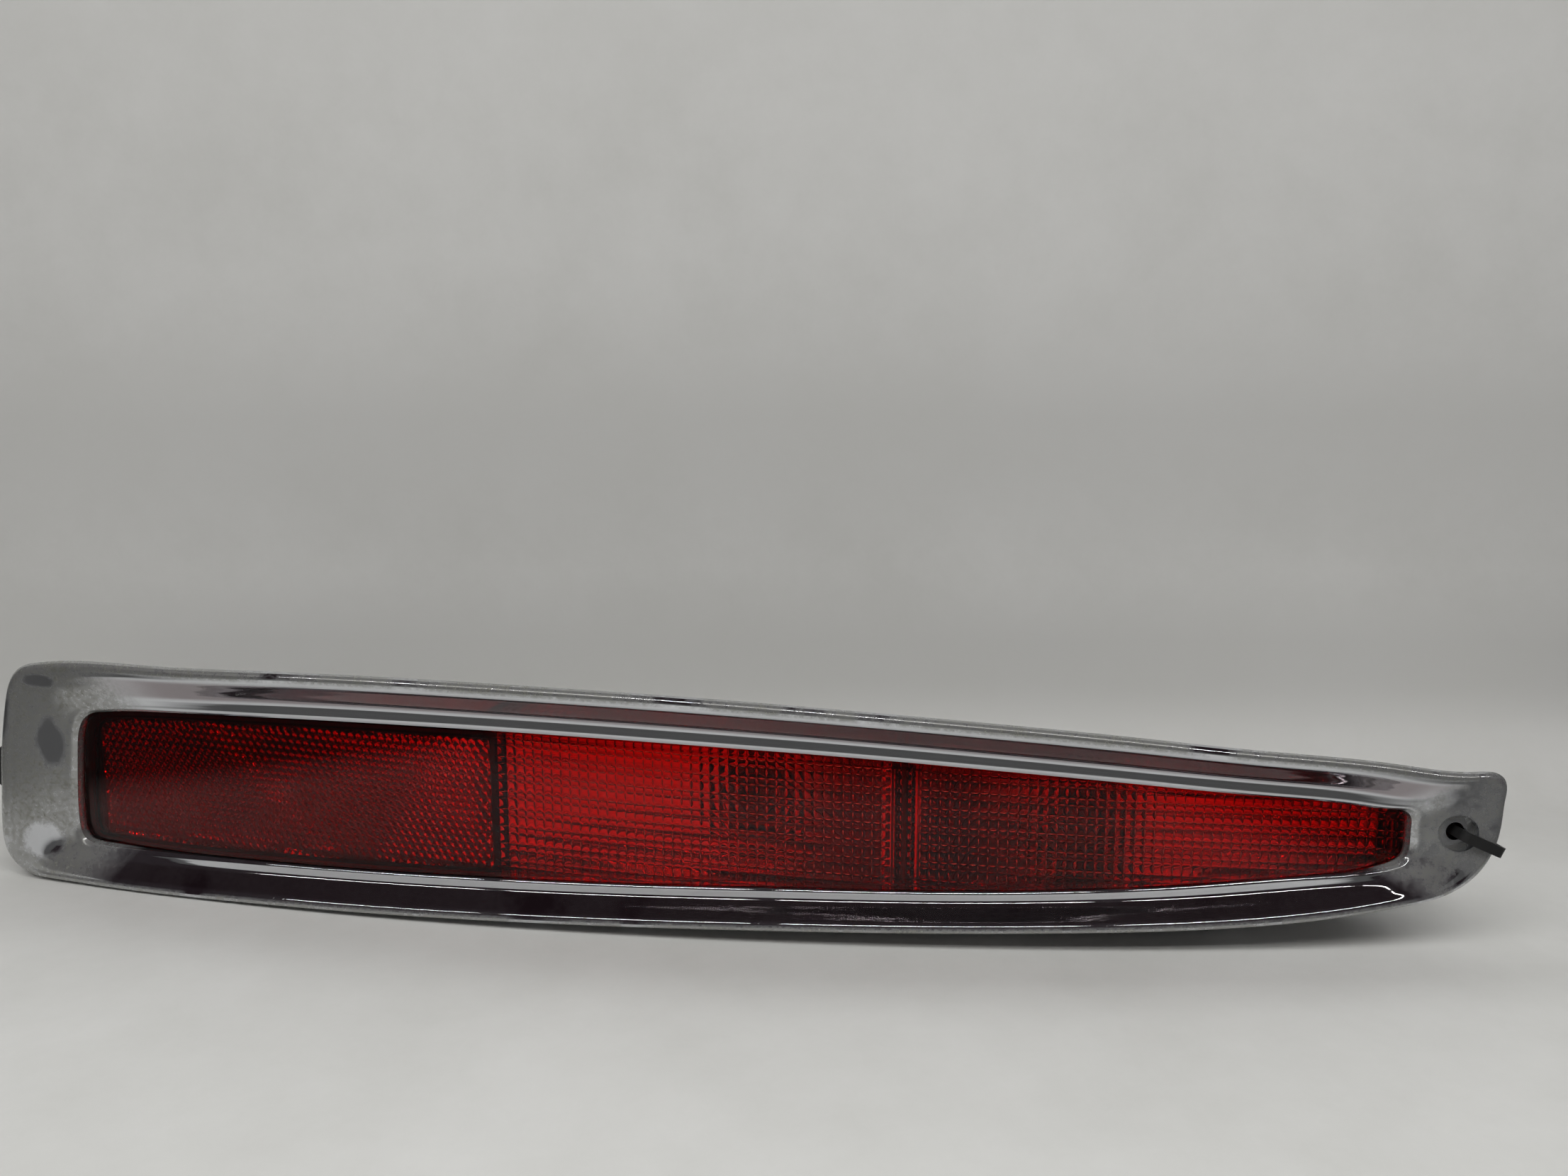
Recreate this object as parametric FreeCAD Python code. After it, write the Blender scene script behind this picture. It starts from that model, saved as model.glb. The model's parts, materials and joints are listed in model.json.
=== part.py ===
import FreeCAD, Part
import math
import os

V = FreeCAD.Vector

# A car's rear lamp with a chromed bezel. Millimetres, +Z up, the face looks towards -Y and
# the lamp tapers towards +X. The face is bowed in plan: "off" is a depth behind that bow.

# Bow of the face
BOW_R = 1500.0
BOW_X = 150.0                  # where the face is furthest forward
TO_ORIGIN = V(42.1, -51.0, 0)  # puts the box's bottom centre at the origin

# Outline of the bezel (outer x, outer z, opening x, opening z, cove depth share), clockwise
OUTLINE = [
    (-286.5, 86.9, -260.5, 68.6, 0.0), (-236.0, 88.8, -226.9, 70.1, 0.5),
    (-180.0, 89.4, -178.8, 70.6, 0.9), (-125.0, 89.1, -124.6, 70.4, 1.0),
    (-74.0, 87.8, -73.5, 69.3, 1.0), (-25.0, 85.8, -24.5, 67.4, 1.0),
    (22.0, 82.9, 22.5, 65.0, 1.0), (68.5, 79.4, 69.4, 61.6, 1.0),
    (115.0, 75.2, 115.3, 57.6, 1.0), (161.0, 70.4, 159.3, 53.4, 1.0),
    (205.0, 65.6, 192.0, 50.3, 0.7), (230.0, 62.9, 205.3, 48.9, 0.2),
    (238.4, 61.9, 209.8, 48.1, 0.0), (240.8, 59.6, 211.3, 46.6, 0.0),
    (241.0, 53.0, 211.8, 42.2, 0.0), (240.5, 44.6, 211.8, 37.6, 0.0),
    (238.4, 35.6, 211.4, 34.0, 0.0), (233.8, 28.0, 210.0, 31.4, 0.0),
    (226.0, 21.8, 206.6, 29.4, 0.0), (212.4, 17.3, 197.1, 26.9, 0.4),
    (188.5, 13.1, 178.7, 24.8, 0.9), (141.0, 8.7, 139.8, 21.7, 1.0),
    (94.0, 7.0, 93.9, 19.2, 1.0), (46.6, 5.8, 46.9, 18.0, 1.0),
    (-1.5, 4.8, -1.5, 17.4, 1.0), (-50.7, 3.6, -51.0, 16.4, 1.0),
    (-101.8, 2.4, -101.1, 15.5, 1.0), (-155.8, 1.3, -153.2, 14.7, 1.0),
    (-213.5, 0.6, -204.4, 14.5, 0.8), (-262.0, 0.4, -248.4, 14.8, 0.3),
    (-287.5, 0.8, -265.9, 15.4, 0.0), (-300.6, 2.8, -272.4, 16.8, 0.0),
    (-307.3, 8.0, -274.6, 19.9, 0.0), (-309.8, 16.4, -275.2, 25.6, 0.0),
    (-308.6, 34.0, -274.9, 35.8, 0.0), (-306.2, 54.0, -273.3, 52.7, 0.0),
    (-302.6, 71.0, -271.7, 61.0, 0.0), (-299.4, 79.4, -269.3, 65.1, 0.0),
    (-294.3, 84.5, -265.7, 67.5, 0.0)]

# Outline points where one curve ends and the next begins
CORNERS = [0, 5, 11, 15, 18, 24, 30, 34, 39]

# Bezel section: share of the way from the outer edge to the opening, depth, cove depth
SECTION = [
    (0.32, 15.2, 0.0),
    (0.00, 2.4, 0.0), (0.04, 0.7, 0.0), (0.11, 0.0, 0.0), (0.20, 0.3, 0.0),
    (0.26, 0.45, 0.25), (0.30, 0.6, 0.7), (0.38, 1.0, 1.75), (0.46, 1.4, 2.8),
    (0.54, 1.9, 3.75), (0.62, 2.5, 4.5), (0.68, 3.0, 4.75), (0.73, 3.4, 4.7),
    (0.79, 3.9, 4.25), (0.86, 4.5, 3.6), (0.94, 5.1, 3.05), (1.00, 6.4, 2.3),
    (1.00, 13.0, 0.0), (0.90, 13.0, 0.0), (0.88, 9.6, 0.0), (0.80, 7.4, 2.2),
    (0.72, 6.4, 3.2), (0.66, 5.6, 3.7), (0.58, 5.0, 3.3), (0.50, 4.6, 2.4),
    (0.42, 4.3, 1.4), (0.34, 4.2, 0.5), (0.27, 4.3, 0.0), (0.16, 5.0, 0.0),
    (0.41, 15.2, 0.0)]

# Bezel screw hole
HOLE_X, HOLE_Z = 225.8, 41.8
HOLE_R = 3.1
COUNTERBORE_R = 6.0
COUNTERBORE_DEPTH = 2.8

# Bezel posts (share across the section, outline point) and the nuts pushed onto them
POST_POINTS = [1, 4, 8, 18, 31]
POST_SHARE = 0.50
POST_R = 1.4
POST_END = 23.0
NUT_R = 3.2
NUT_T = 0.8

# Lens, reflex reflector and housing depths behind the bow
LENS_FACE = 9.0
LENS_T = 2.8
FLANGE_FRONT = 13.4
FLANGE_T = 2.5
HOUSING_FRONT = 16.2
HOUSING_FLANGE_T = 2.6
SHALLOW_BACK = 34.0
WALL = 2.8
DEEP_BACK_Y = 60.0
KNEE_Y = 42.0                  # the deep end's roof and floor slope down behind this
LEAN = 0.35                    # drop per millimetre behind the knee
STEP_X = -118.0                # the housing is shallow on this side of the step
REFLEX_X = (-266.0, -108.0)
RIB_XS = (37.5, 41.5, 45.5)

# Chambers: x range, bulb axis x and z
CHAMBERS = {"inner": (-100.0, 36.0, -10.0, 41.0), "outer": (47.0, 205.0, 112.0, 35.0)}
BOWL_Y = 54.0
BOWL_FRONT = HOUSING_FRONT + 2.2
BOWL_T = 1.5
DOME_R = 20.5
DOME_WALL = 2.5
DOME_BACK_Y = 78.0
SOCKET_HOLE_R = 13.8
SOCKET_FLANGE_R = 19.0
LUG_R = 16.4
LUG_ANGLE = 14.0
LUG_TURN = 40.0                # from locked to the notches

# Feet, tab and fixings
APRON_END_X = 150.0
APRON_STRIDE = 55.0
STUD_X, STUD_Z = (-88.0, 172.0), (21.0, 44.0)
STUD_R = 3.0
STUD_LENGTH = 24.0
VENT_X, VENT_Z = 51.0, 46.0
PIN_X, PIN_Z = 51.0, 24.0
TAB_X = -326.0
TAB_Z = 37.5
TAB_R = 10.7
TAB_T = 4.0
TAB_HOLE_R = 3.3

# Cable tie looped through the screw hole
TIE_WIDTH = 3.6
TIE_T = 1.2
TIE_TILT = 24.0


def bow_y(x, off):
    """Y of the bowed surface that lies off behind the front."""
    return BOW_R - math.sqrt((BOW_R - off) ** 2 - (x - BOW_X) ** 2)


def behind(off):
    """All the space further back than off."""
    return Part.makeCylinder(BOW_R - off, 200, V(BOW_X, BOW_R, -50))


def ring(share, off=None, cove=0.0, y=0.0):
    """Closed smooth curve at a share of the way from the outer edge to the opening, as edges."""
    points = []
    for outer_x, outer_z, open_x, open_z, depth in OUTLINE:
        x = outer_x + (open_x - outer_x) * share
        z = outer_z + (open_z - outer_z) * share
        here = y if off is None else bow_y(x, off + cove * depth)
        points.append(V(x, here, z))
    curve = Part.BSplineCurve()
    curve.interpolate(points, PeriodicFlag=True)
    knots = curve.getKnots()
    edges = []
    for start, end in zip(CORNERS, CORNERS[1:]):
        stretch = curve.copy()
        stretch.segment(knots[start], knots[end])
        edges.append(stretch.toShape())
    return edges


def prism(share, front_y=-20.0, back_y=130.0):
    """The outline at this share, as a block through the lamp's depth."""
    face = Part.Face(Part.Wire(ring(share, y=front_y)))
    return face.extrude(V(0, back_y - front_y, 0))


def tub(share, back_y):
    """The outline at this share, straight to the knee and then sloping down to the back."""
    block = prism(share, -20, KNEE_Y)
    back = Part.Face(Part.Wire(ring(share, y=KNEE_Y)))
    return block.fuse(back.extrude(V(0, back_y - KNEE_Y, LEAN * (KNEE_Y - back_y))))


def bowed(share, off_front, off_back, hole=None):
    """Block of the outline between two bowed surfaces, with a hole at another share."""
    block = prism(share)
    if hole is not None:
        block = block.cut(prism(hole))
    return block.common(behind(off_front)).cut(behind(off_back))


def box(x0, x1, y0, y1, z0, z1):
    return Part.makeBox(x1 - x0, y1 - y0, z1 - z0, V(x0, y0, z0))


def rod(x, z, y0, y1, radius):
    """Cylinder along Y."""
    return Part.makeCylinder(radius, y1 - y0, V(x, y0, z), V(0, 1, 0))


def post_places():
    """Centres of the bezel's posts, with the cove's depth share there."""
    places = []
    for index in POST_POINTS:
        outer_x, outer_z, open_x, open_z, depth = OUTLINE[index]
        x = outer_x + (open_x - outer_x) * POST_SHARE
        z = outer_z + (open_z - outer_z) * POST_SHARE
        places.append((x, z, depth))
    return places


def chrome_bezel():
    """Frame with a rounded rim, a cove that runs out at both ends, and an inner lip."""
    rings = [ring(share, off, cove) for share, off, cove in SECTION]
    faces = []
    for index in range(len(rings)):
        for here, there in zip(rings[index - 1], rings[index]):
            faces.append(Part.makeRuledSurface(here, there))
    shell = Part.Compound(faces)
    shell.sewShape()
    bezel = Part.Solid(shell.Shells[0])
    if bezel.Volume < 0:
        bezel.reverse()
    front = bow_y(HOLE_X, 1.5)
    boss = rod(HOLE_X, HOLE_Z, front + 1.2, front + 6.0, COUNTERBORE_R + 2.5)
    bezel = bezel.fuse(boss)
    bezel = bezel.cut(rod(HOLE_X, HOLE_Z, front - 5, front + COUNTERBORE_DEPTH, COUNTERBORE_R))
    bezel = bezel.cut(rod(HOLE_X, HOLE_Z, front - 5, front + 20, HOLE_R))
    for x, z, depth in post_places():
        bezel = bezel.fuse(rod(x, z, bow_y(x, 3.2 + 3.3 * depth), bow_y(x, POST_END), POST_R))
    return bezel


def bezel_edge_seal():
    """Soft strip between the bezel's back edge and the housing's flange."""
    return bowed(0.325, 15.2, HOUSING_FRONT, hole=0.405)


def nut_seat(x):
    """Y of a push nut's front face."""
    return bow_y(x, HOUSING_FRONT + HOUSING_FLANGE_T) + 1.4


def bezel_push_nuts():
    """Toothed spring nuts pushed onto the bezel's posts."""
    nuts = []
    for x, z, depth in post_places():
        seat = nut_seat(x)
        disc = rod(x, z, seat, seat + NUT_T, NUT_R)
        rim = rod(x, z, seat, seat + 1.8, NUT_R).cut(rod(x, z, seat, seat + 2, NUT_R - 0.8))
        nuts.append(disc.fuse(rim).cut(rod(x, z, seat - 1, seat + 3, POST_R)))
    return Part.Compound(nuts)


def outer_lens():
    """Red cover: bowed face, side wall and glued flange, with ribs between the chambers."""
    face = bowed(1.03, LENS_FACE, LENS_FACE + LENS_T)
    wall = bowed(1.03, LENS_FACE, FLANGE_FRONT + FLANGE_T, hole=1.17)
    flange = bowed(0.74, FLANGE_FRONT, FLANGE_FRONT + FLANGE_T, hole=1.17)
    lens = face.fuse(wall).fuse(flange)
    inside = bowed(1.17, LENS_FACE + LENS_T - 0.2, FLANGE_FRONT + 1.5)
    for x in RIB_XS:
        lens = lens.fuse(inside.common(box(x - 0.6, x + 0.6, -20, 120, 0, 100)))
    return lens.removeSplitter()


def reflex_reflector():
    """Plate of corner-cube pins behind the wrapped end of the lens."""
    front = LENS_FACE + LENS_T + 0.4
    plate = bowed(1.20, front, front + 2.6)
    return plate.common(box(REFLEX_X[0] + 5, REFLEX_X[1], -20, 120, 0, 100))


def lens_seal():
    """Butyl bead in the housing's groove under the lens flange."""
    return bowed(0.78, FLANGE_FRONT + FLANGE_T, HOUSING_FRONT + 1.8, hole=0.91)


def deep_space(share, front_off, back_y):
    """Outline block from a bowed front to a flat back, on the deep side of the step."""
    block = tub(share, back_y).common(behind(front_off))
    return block.common(box(STEP_X, 260, -20, back_y, -5, 110))


def shallow_space(share, front_off, back_off, end_x):
    """Outline block between bowed surfaces on the shallow side."""
    return bowed(share, front_off, back_off).common(box(-330, end_x, -20, 130, -5, 110))


def housing_shell():
    """Flange, shallow end and deep end, hollowed out."""
    back = HOUSING_FRONT + HOUSING_FLANGE_T
    shell = bowed(0.34, HOUSING_FRONT, back)
    shell = shell.fuse(deep_space(0.68, back - 1, DEEP_BACK_Y))
    shell = shell.fuse(shallow_space(0.68, back - 1, SHALLOW_BACK, STEP_X + 1))
    step_wall = box(STEP_X, STEP_X + WALL, -20, 120, 0, 110)
    shell = shell.cut(deep_space(0.86, 5.0, DEEP_BACK_Y - WALL).cut(step_wall))
    shell = shell.cut(shallow_space(0.86, 5.0, SHALLOW_BACK - WALL, STEP_X))
    groove = bowed(0.765, HOUSING_FRONT - 1, HOUSING_FRONT + 1.8, hole=0.925)
    return shell.cut(groove)


def apron():
    """Closing wall, foot and webs under the lamp."""
    front = HOUSING_FRONT + HOUSING_FLANGE_T
    under = box(STEP_X, APRON_END_X, -20, DEEP_BACK_Y, 0, 22).cut(tub(0.72, DEEP_BACK_Y))
    under = under.fuse(box(-286, STEP_X, -20, 130, 0, 22).cut(prism(0.72)))
    under = under.common(behind(front + 2.0))
    under = under.cut(box(-330, STEP_X, -20, 130, -5, 30).common(behind(SHALLOW_BACK)))
    hollow = behind(front + 4.5).common(box(-330, 200, -20, 130, 2.5, 30))
    webs = []
    x = -270.0
    while x < APRON_END_X:
        webs.append(box(x, x + 2.5, -20, 130, 0, 30))
        x += APRON_STRIDE
    return under.cut(hollow.cut(Part.Compound(webs)))


def dome(name):
    """Round end of a chamber, with the notched hole for its socket."""
    low, high, x, z = CHAMBERS[name]
    return rod(x, z, DEEP_BACK_Y - 1, DOME_BACK_Y, DOME_R)


def dome_hollow(name):
    low, high, x, z = CHAMBERS[name]
    hollow = rod(x, z, DEEP_BACK_Y - 10, DOME_BACK_Y - 3, DOME_R - DOME_WALL)
    hollow = hollow.fuse(rod(x, z, DEEP_BACK_Y, DOME_BACK_Y + 1, SOCKET_HOLE_R))
    for third in range(3):
        angle = third * 120.0 + LUG_TURN
        notch = sector(x, z, DOME_BACK_Y - 5, DOME_BACK_Y + 1, LUG_R + 0.4, angle, LUG_ANGLE + 5)
        hollow = hollow.fuse(notch)
    return hollow


def sector(x, z, y0, y1, radius, angle, width):
    """Wedge of a cylinder along Y, centred on an angle about that axis."""
    wedge = Part.makeCylinder(radius, y1 - y0, V(0, 0, 0), V(0, 0, 1), width)
    wedge.rotate(V(0, 0, 0), V(0, 0, 1), angle - width / 2)
    wedge.rotate(V(0, 0, 0), V(1, 0, 0), -90)
    wedge.translate(V(x, y0, z))
    return wedge


def side_tab():
    """Ear with a screw hole, past the bezel's left end."""
    y = bow_y(-281.0, SHALLOW_BACK) - TAB_T
    centre_x = TAB_X + TAB_R
    tab = box(centre_x, -277, y, y + TAB_T, TAB_Z - TAB_R, TAB_Z + TAB_R)
    tab = tab.fuse(rod(centre_x, TAB_Z, y, y + TAB_T, TAB_R))
    return tab.cut(rod(centre_x, TAB_Z, y - 1, y + TAB_T + 1, TAB_HOLE_R))


def housing():
    """Black tub: flange, chambers, divider, domes, apron, tab and locating pin."""
    body = housing_shell().fuse(apron()).fuse(side_tab())
    divider = tub(0.87, DEEP_BACK_Y - 1).common(behind(HOUSING_FRONT + 0.5))
    body = body.fuse(divider.common(box(39.5, 42.5, -20, 120, 0, 110)))
    for name in CHAMBERS:
        body = body.fuse(dome(name))
    for name in CHAMBERS:
        body = body.cut(dome_hollow(name))
    body = body.fuse(rod(PIN_X, PIN_Z, DEEP_BACK_Y - 1, DEEP_BACK_Y + 16, 4.0))
    body = body.cut(rod(VENT_X, VENT_Z, DEEP_BACK_Y - 10, DEEP_BACK_Y + 1, 3.0))
    body = body.cut(rod(HOLE_X, HOLE_Z, 0, 40, HOLE_R + 0.2))
    for x, z, depth in post_places():
        body = body.cut(rod(x, z, bow_y(x, 5), bow_y(x, 27), POST_R + 0.4))
        body = body.cut(rod(x, z, nut_seat(x) - 0.1, nut_seat(x) + 6.0, NUT_R + 0.5))
    for x in STUD_X:
        for z in STUD_Z:
            body = body.fuse(rod(x, z, DEEP_BACK_Y - 9, DEEP_BACK_Y - 1, 6.0))
            body = body.cut(rod(x, z, DEEP_BACK_Y - 7.5, DEEP_BACK_Y + 1, STUD_R))
    return body.removeSplitter()


def trough(name, grow):
    """Space in front of a curved reflector that is deepest at the bulb, larger by grow."""
    low, high, axis_x, axis_z = CHAMBERS[name]
    points = []
    for step in range(-4, 5):
        share = step / 4.0
        end_x = low if share < 0 else high
        rise = BOWL_Y - bow_y(end_x, BOWL_FRONT) - 0.6
        reach = abs(end_x - axis_x) + grow
        points.append(V(axis_x + share * reach, BOWL_Y + grow - rise * share ** 2, 0))
    curve = Part.BSplineCurve()
    curve.interpolate(points)
    front = V(points[-1].x, -20, 0)
    front_low = V(points[0].x, -20, 0)
    edges = [curve.toShape(), Part.makeLine(points[-1], front)]
    edges.append(Part.makeLine(front, front_low))
    edges.append(Part.makeLine(front_low, points[0]))
    return Part.Face(Part.Wire(edges)).extrude(V(0, 0, 110))


def reflector_bowl(name):
    """Thin bright trough with flat upper and lower walls and a hole for the bulb."""
    low, high, x, z = CHAMBERS[name]
    room = tub(0.885, DEEP_BACK_Y - WALL - 0.4).common(behind(BOWL_FRONT))
    room = room.common(box(low - BOWL_T, high + BOWL_T, -20, 120, 0, 110))
    bowl = room.common(trough(name, BOWL_T))
    bowl = bowl.cut(trough(name, 0.0).common(tub(0.98, DEEP_BACK_Y)))
    bowl = bowl.cut(rod(x, z, KNEE_Y + 4, 100, LUG_R + 1.2))
    for stud_x in STUD_X:
        for stud_z in STUD_Z:
            bowl = bowl.cut(rod(stud_x, stud_z, DEEP_BACK_Y - 12, DEEP_BACK_Y, 6.6))
    return max(bowl.Solids, key=lambda solid: solid.Volume)


def socket(name):
    """Twist-lock holder: flange, neck with three lugs, bulb slot and plug inlet."""
    low, high, x, z = CHAMBERS[name]
    back = DOME_BACK_Y
    body = rod(x, z, back - 6.4, back + 4.8, SOCKET_HOLE_R - 0.4)
    body = body.fuse(rod(x, z, back + 1.8, back + 4.8, SOCKET_FLANGE_R))
    for third in range(3):
        body = body.fuse(sector(x, z, back - 6.4, back - 3.4, LUG_R, third * 120.0, LUG_ANGLE))
    for grip in range(8):
        angle = grip * 45.0 + 22.5
        cut_x = x + 20.8 * math.cos(math.radians(angle))
        cut_z = z + 20.8 * math.sin(math.radians(angle))
        body = body.cut(rod(cut_x, cut_z, back + 1, back + 6, 3.2))
    body = body.fuse(box(x - 12, x + 12, back + 4, back + 24, z - 8.5, z + 8.5))
    body = body.cut(box(x - 10, x + 10, back + 9, back + 25, z - 6.5, z + 6.5))
    body = body.cut(box(x - 9.3, x + 9.3, back - 7, back + 5.5, z - 5.3, z + 5.3))
    for side in (-6.0, 6.0):
        body = body.cut(box(x + side - 1.4, x + side + 1.4, back + 5, back + 10, z - 0.4, z + 0.4))
    body = body.fuse(box(x - 3, x + 3, back + 14, back + 17, z + 8.0, z + 10.5))
    return body.removeSplitter()


def socket_seal(name):
    """Ring under the socket's flange."""
    low, high, x, z = CHAMBERS[name]
    disc = rod(x, z, DOME_BACK_Y, DOME_BACK_Y + 1.8, SOCKET_FLANGE_R - 0.6)
    return disc.cut(rod(x, z, DOME_BACK_Y - 1, DOME_BACK_Y + 3, LUG_R + 0.6))


def terminals(name):
    """Two brass blades, bent to spring contacts beside the bulb's base."""
    low, high, x, z = CHAMBERS[name]
    back = DOME_BACK_Y
    blades = []
    for side in (-6.0, 6.0):
        blade = box(x + side - 1.4, x + side + 1.4, back + 4.6, back + 19, z - 0.4, z + 0.4)
        foot = box(x + side - 1.4, x + side + 1.4, back + 4.6, back + 5.4, z - 0.4, z + 5.2)
        spring = box(x + side - 1.4, x + side + 1.4, back - 5, back + 5.4, z + 4.7, z + 5.2)
        blades.append(blade.fuse(foot).fuse(spring))
    return Part.Compound(blades)


def bulb_base(name):
    """Wedge base that pushes into the socket."""
    low, high, x, z = CHAMBERS[name]
    back = DOME_BACK_Y
    base = box(x - 9.0, x + 9.0, back - 8.5, back + 4.0, z - 4.4, z + 4.4)
    base = base.fuse(rod(x, z, back - 11.5, back - 6.8, 10.5))
    return base.cut(rod(x, z, back - 12, back - 8.0, 8.0)).removeSplitter()


def bulb_glass(name):
    """Clear globe with a narrowed neck that is held in the base."""
    low, high, x, z = CHAMBERS[name]
    neck_y = DOME_BACK_Y - 8.0
    outline = [(8.0, 0.0), (8.0, -3.5), (12.9, -9.0), (12.9, -26.0)]
    walls = []
    for shrink in (0.0, 0.9):
        points = [V(r - shrink, y, 0) for r, y in outline]
        start, shoulder, waist, top = points
        tip = V(0, top.y - 12.9 + shrink, 0)
        mid = V(top.x * math.sin(math.radians(45)), top.y - top.x * math.cos(math.radians(45)), 0)
        edges = [Part.makeLine(V(0, start.y, 0), start), Part.makeLine(start, shoulder)]
        edges.append(Part.makeLine(shoulder, waist))
        edges.append(Part.makeLine(waist, top))
        edges.append(Part.Arc(top, mid, tip).toShape())
        edges.append(Part.makeLine(tip, V(0, start.y, 0)))
        half = Part.Face(Part.Wire(edges))
        walls.append(half.revolve(V(0, 0, 0), V(0, 1, 0), 360))
    glass = walls[0].cut(walls[1].common(box(-20, 20, -60, -2.0, -20, 20)))
    glass.translate(V(x, neck_y, z))
    return glass


def filament(name):
    """Coiled wire between two posts, with a glass bridge."""
    low, high, x, z = CHAMBERS[name]
    foot = DOME_BACK_Y - 10.0
    bridge = box(x - 3.4, x + 3.4, foot - 7.0, foot - 5.0, z - 1.0, z + 1.0)
    left = rod(x - 4.0, z, foot - 20.0, foot, 0.55)
    right = rod(x + 4.0, z, foot - 20.0, foot, 0.55)
    coil = Part.makeCylinder(0.8, 6.8, V(x - 3.4, foot - 19.1, z), V(1, 0, 0))
    return Part.Compound([left, right, coil, bridge])


def mounting_studs():
    """Threaded studs with a collar, moulded into the housing's back."""
    studs = []
    for x in STUD_X:
        for z in STUD_Z:
            stud = rod(x, z, DEEP_BACK_Y - 7.5, DEEP_BACK_Y + STUD_LENGTH, STUD_R)
            stud = stud.fuse(rod(x, z, DEEP_BACK_Y, DEEP_BACK_Y + 2.0, 5.5))
            studs.append(stud)
    return Part.Compound(studs)


def body_gasket():
    """Foam ring round the back of the chambers, pressed against the car."""
    back = DEEP_BACK_Y
    foam = prism(0.74, back, back + 6).cut(prism(1.02, back - 1, back + 7))
    foam = foam.common(box(STEP_X + 1, 260, back, back + 6, 0, 110))
    end = prism(0.74, back, back + 6).common(box(STEP_X + 1, STEP_X + 7, back, back + 6, 0, 110))
    foam = foam.fuse(end)
    foam.translate(V(0, 0, LEAN * (KNEE_Y - back)))
    for name in CHAMBERS:
        low, high, x, z = CHAMBERS[name]
        foam = foam.cut(rod(x, z, back - 1, back + 8, DOME_R + 0.4))
    for x in STUD_X:
        for z in STUD_Z:
            foam = foam.cut(rod(x, z, back - 1, back + 8, 6.2))
    return foam


def vent_cap():
    """Cap over the breather hole."""
    back = DEEP_BACK_Y
    cap = rod(VENT_X, VENT_Z, back, back + 7.0, 7.5).cut(rod(VENT_X, VENT_Z, back - 1, back + 5, 6.0))
    for side in range(4):
        angle = math.radians(45 + 90 * side)
        slot_x = VENT_X + 6.8 * math.cos(angle)
        slot_z = VENT_Z + 6.8 * math.sin(angle)
        cap = cap.cut(rod(slot_x, slot_z, back - 1, back + 2.5, 1.2))
    return cap


def vent_membrane():
    """Breathable disc inside the vent cap."""
    return rod(VENT_X, VENT_Z, DEEP_BACK_Y, DEEP_BACK_Y + 0.8, 5.4)


def rounded_loop(width, depth, radius, height):
    """Block with rounded corners, its loop in X and Y."""
    block = Part.makeBox(width, depth, height)
    upright = [e for e in block.Edges if abs(e.tangentAt(e.FirstParameter).z) > 0.9]
    return block.makeFillet(radius, upright)


def cable_tie():
    """Strap through the screw hole and round the bezel's end, with its locking head behind."""
    width, depth = 13.6, 23.0
    loop = rounded_loop(width + 2 * TIE_T, depth + 2 * TIE_T, 2.6, TIE_WIDTH)
    hole = rounded_loop(width, depth, 1.6, TIE_WIDTH)
    hole.translate(V(TIE_T, TIE_T, 0))
    loop = loop.cut(hole)
    head = Part.makeBox(6.0, 4.2, 5.6, V(8.0, depth + 0.8, -1.0))
    tail = Part.makeBox(1.2, 9.0, TIE_WIDTH, V(10.4, depth + 4.0, 0))
    loop = loop.fuse(head).fuse(tail)
    loop.translate(V(-TIE_T / 2, 0, -TIE_WIDTH / 2))
    loop.rotate(V(0, 0, 0), V(0, 1, 0), TIE_TILT)
    loop.translate(V(HOLE_X + 0.6, bow_y(HOLE_X, 0) - 1.0, HOLE_Z - 0.2))
    return loop


PARTS = {
    "chrome_bezel": chrome_bezel(),
    "bezel_edge_seal": bezel_edge_seal(),
    "bezel_push_nuts": bezel_push_nuts(),
    "outer_lens": outer_lens(),
    "reflex_reflector": reflex_reflector(),
    "lens_seal": lens_seal(),
    "housing": housing(),
    "mounting_studs": mounting_studs(),
    "body_gasket": body_gasket(),
    "vent_cap": vent_cap(),
    "vent_membrane": vent_membrane(),
    "cable_tie": cable_tie()}
for chamber in CHAMBERS:
    PARTS["reflector_bowl_" + chamber] = reflector_bowl(chamber)
    PARTS["socket_" + chamber] = socket(chamber)
    PARTS["socket_seal_" + chamber] = socket_seal(chamber)
    PARTS["terminals_" + chamber] = terminals(chamber)
    PARTS["bulb_base_" + chamber] = bulb_base(chamber)
    PARTS["bulb_glass_" + chamber] = bulb_glass(chamber)
    PARTS["filament_" + chamber] = filament(chamber)

os.makedirs("parts", exist_ok=True)
for name, shape in PARTS.items():
    shape.translate(TO_ORIGIN)
    shape.exportStep("parts/" + name + ".step")
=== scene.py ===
import json
import math

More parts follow.
